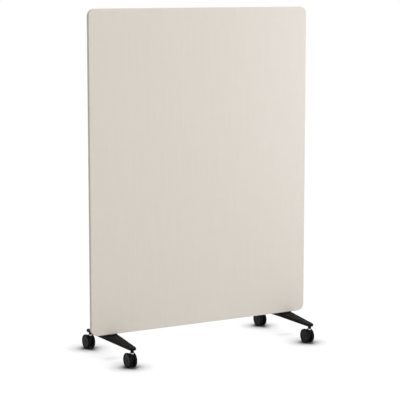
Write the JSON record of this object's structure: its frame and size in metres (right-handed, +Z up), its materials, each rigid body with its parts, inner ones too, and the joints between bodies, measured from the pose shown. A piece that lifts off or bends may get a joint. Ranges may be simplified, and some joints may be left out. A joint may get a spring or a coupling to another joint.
{
  "type": "rolling partition",
  "caption": "Upright fabric-covered panel with rounded corners on cast cross feet that roll on swivelling twin-wheel castors.",
  "frame": {"origin": "on the floor, under the middle of the whole footprint", "axes": "+X along the panel's width, +Y to the rear of the panel, +Z up"},
  "size_m": [1.2, 0.5095, 1.65],
  "materials": {
    "fabric": "fine plain weave, warm off-white",
    "padding": "bonded fleece",
    "infill": "mineral wool slab",
    "hardboard": "smooth hardboard",
    "timber": "planed pine",
    "casting": "satin black powder coat",
    "plate": "blackened steel",
    "steel": "bright zinc plate",
    "castor_body": "moulded black nylon",
    "castor_wheel": "moulded black nylon with a smooth tread",
    "bush": "white acetal"
  },
  "bodies": {
    "frame": {"left_stile": "timber", "right_stile": "timber", "bottom_rail": "timber", "middle_rail": "timber", "top_rail": "timber", "lower_infill": "infill", "upper_infill": "infill", "threaded_insert_1": "steel", "threaded_insert_2": "steel", "threaded_insert_3": "steel", "threaded_insert_4": "steel", "front_skin": "hardboard", "rear_skin": "hardboard", "front_padding": "padding", "rear_padding": "padding", "front_cover": "fabric", "rear_cover": "fabric", "left_foot_casting": "casting", "left_mounting_plate": "plate", "left_foot_bolt_outer": "steel", "left_foot_bolt_inner": "steel", "right_foot_casting": "casting", "right_mounting_plate": "plate", "right_foot_bolt_outer": "steel", "right_foot_bolt_inner": "steel", "left_front_castor_stem": "steel", "left_front_castor_retaining_ring": "steel", "left_rear_castor_stem": "steel", "left_rear_castor_retaining_ring": "steel", "right_front_castor_stem": "steel", "right_front_castor_retaining_ring": "steel", "right_rear_castor_stem": "steel", "right_rear_castor_retaining_ring": "steel"},
    "left_front_castor_swivel_body": {"left_front_castor_housing": "castor_body", "left_front_castor_bush": "bush", "left_front_castor_axle": "steel"},
    "left_front_castor_left_wheel": {"left_front_castor_left_wheel": "castor_wheel"},
    "left_front_castor_right_wheel": {"left_front_castor_right_wheel": "castor_wheel"},
    "left_rear_castor_swivel_body": {"left_rear_castor_housing": "castor_body", "left_rear_castor_bush": "bush", "left_rear_castor_axle": "steel"},
    "left_rear_castor_left_wheel": {"left_rear_castor_left_wheel": "castor_wheel"},
    "left_rear_castor_right_wheel": {"left_rear_castor_right_wheel": "castor_wheel"},
    "right_front_castor_swivel_body": {"right_front_castor_housing": "castor_body", "right_front_castor_bush": "bush", "right_front_castor_axle": "steel"},
    "right_front_castor_left_wheel": {"right_front_castor_left_wheel": "castor_wheel"},
    "right_front_castor_right_wheel": {"right_front_castor_right_wheel": "castor_wheel"},
    "right_rear_castor_swivel_body": {"right_rear_castor_housing": "castor_body", "right_rear_castor_bush": "bush", "right_rear_castor_axle": "steel"},
    "right_rear_castor_left_wheel": {"right_rear_castor_left_wheel": "castor_wheel"},
    "right_rear_castor_right_wheel": {"right_rear_castor_right_wheel": "castor_wheel"}
  },
  "joints": [
    {"name": "left_front_castor_swivel", "type": "hinge", "parent": "frame", "child": "left_front_castor_swivel_body", "pos_m": [-0.495, -0.23625, 0.068], "axis": [0, 0, 1], "continuous": true},
    {"name": "left_front_castor_left_wheel_spin", "type": "hinge", "parent": "left_front_castor_swivel_body", "child": "left_front_castor_left_wheel", "pos_m": [-0.495, -0.21625, 0.035], "axis": [1, 0, 0], "continuous": true},
    {"name": "left_front_castor_right_wheel_spin", "type": "hinge", "parent": "left_front_castor_swivel_body", "child": "left_front_castor_right_wheel", "pos_m": [-0.495, -0.21625, 0.035], "axis": [1, 0, 0], "continuous": true},
    {"name": "left_rear_castor_swivel", "type": "hinge", "parent": "frame", "child": "left_rear_castor_swivel_body", "pos_m": [-0.495, 0.19975, 0.068], "axis": [0, 0, 1], "continuous": true},
    {"name": "left_rear_castor_left_wheel_spin", "type": "hinge", "parent": "left_rear_castor_swivel_body", "child": "left_rear_castor_left_wheel", "pos_m": [-0.495, 0.21975, 0.035], "axis": [1, 0, 0], "continuous": true},
    {"name": "left_rear_castor_right_wheel_spin", "type": "hinge", "parent": "left_rear_castor_swivel_body", "child": "left_rear_castor_right_wheel", "pos_m": [-0.495, 0.21975, 0.035], "axis": [1, 0, 0], "continuous": true},
    {"name": "right_front_castor_swivel", "type": "hinge", "parent": "frame", "child": "right_front_castor_swivel_body", "pos_m": [0.495, -0.23625, 0.068], "axis": [0, 0, 1], "continuous": true},
    {"name": "right_front_castor_left_wheel_spin", "type": "hinge", "parent": "right_front_castor_swivel_body", "child": "right_front_castor_left_wheel", "pos_m": [0.495, -0.21625, 0.035], "axis": [1, 0, 0], "continuous": true},
    {"name": "right_front_castor_right_wheel_spin", "type": "hinge", "parent": "right_front_castor_swivel_body", "child": "right_front_castor_right_wheel", "pos_m": [0.495, -0.21625, 0.035], "axis": [1, 0, 0], "continuous": true},
    {"name": "right_rear_castor_swivel", "type": "hinge", "parent": "frame", "child": "right_rear_castor_swivel_body", "pos_m": [0.495, 0.19975, 0.068], "axis": [0, 0, 1], "continuous": true},
    {"name": "right_rear_castor_left_wheel_spin", "type": "hinge", "parent": "right_rear_castor_swivel_body", "child": "right_rear_castor_left_wheel", "pos_m": [0.495, 0.21975, 0.035], "axis": [1, 0, 0], "continuous": true},
    {"name": "right_rear_castor_right_wheel_spin", "type": "hinge", "parent": "right_rear_castor_swivel_body", "child": "right_rear_castor_right_wheel", "pos_m": [0.495, 0.21975, 0.035], "axis": [1, 0, 0], "continuous": true}
  ]
}
